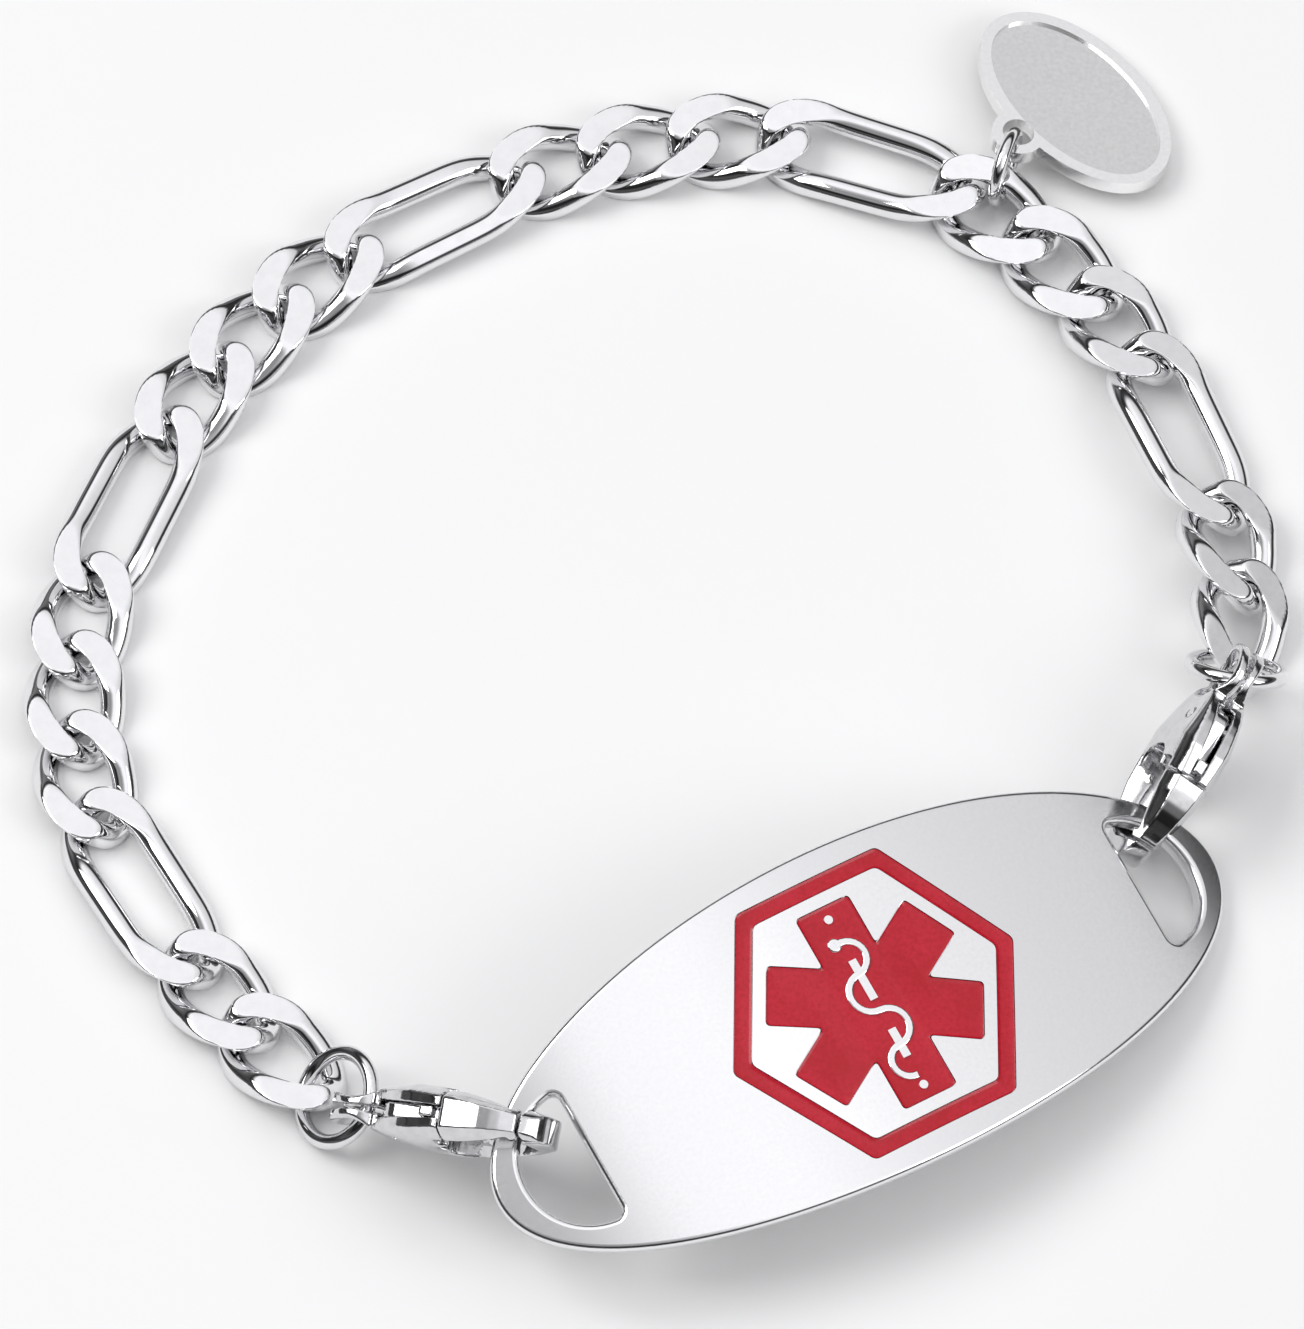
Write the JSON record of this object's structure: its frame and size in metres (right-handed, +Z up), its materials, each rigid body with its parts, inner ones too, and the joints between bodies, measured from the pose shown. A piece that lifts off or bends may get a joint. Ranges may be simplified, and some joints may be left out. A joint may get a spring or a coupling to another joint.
{
  "type": "medical alert bracelet",
  "caption": "Medical alert bracelet: an arched oval steel plate with an enamel star, held by two lobster clasps on a figaro chain with a small oval tag.",
  "frame": {"origin": "middle of the whole bracelet's box, on the surface that it lies on", "axes": "+Z up from that surface; the camera of the picture looks along +Y and down; +X to the right"},
  "size_m": [0.0738, 0.0847, 0.0106],
  "materials": {
    "plate_steel": "polished",
    "red_enamel": "gloss",
    "clasp_steel": "polished",
    "chain_steel": "polished",
    "satin_steel": "satin"
  },
  "bodies": {
    "bracelet": {"plate": "plate_steel", "enamel_border": "red_enamel", "enamel_star": "red_enamel", "clasp_1_body": "clasp_steel", "clasp_1_pin": "clasp_steel", "clasp_2_body": "clasp_steel", "clasp_2_pin": "clasp_steel", "jump_ring_1": "chain_steel", "jump_ring_2": "chain_steel", "tag_ring": "chain_steel", "tag": "satin_steel", "link_01": "chain_steel", "link_02": "chain_steel", "link_03": "chain_steel", "link_04": "chain_steel", "link_05": "chain_steel", "link_06": "chain_steel", "link_07": "chain_steel", "link_08": "chain_steel", "link_09": "chain_steel", "link_10": "chain_steel", "link_11": "chain_steel", "link_12": "chain_steel", "link_13": "chain_steel", "link_14": "chain_steel", "link_15": "chain_steel", "link_16": "chain_steel", "link_17": "chain_steel", "link_18": "chain_steel", "link_19": "chain_steel", "link_20": "chain_steel", "link_21": "chain_steel"},
    "lever_1": {"clasp_1_lever": "clasp_steel"},
    "lever_2": {"clasp_2_lever": "clasp_steel"}
  },
  "joints": [
    {"name": "clasp_1_lever_hinge", "type": "hinge", "parent": "bracelet", "child": "lever_1", "pos_m": [-0.01453, -0.03345, 0.00569], "axis": [0.1768, 0.9264, 0.3326], "range_deg": [0, 9], "stiffness_Nm_per_rad": 0.0004, "springref_deg": -20.05},
    {"name": "clasp_2_lever_hinge", "type": "hinge", "parent": "bracelet", "child": "lever_2", "pos_m": [0.03211, -0.00868, 0.00632], "axis": [0.7981, -0.3466, -0.4928], "range_deg": [0, 10], "stiffness_Nm_per_rad": 0.0004, "springref_deg": -20.05}
  ]
}
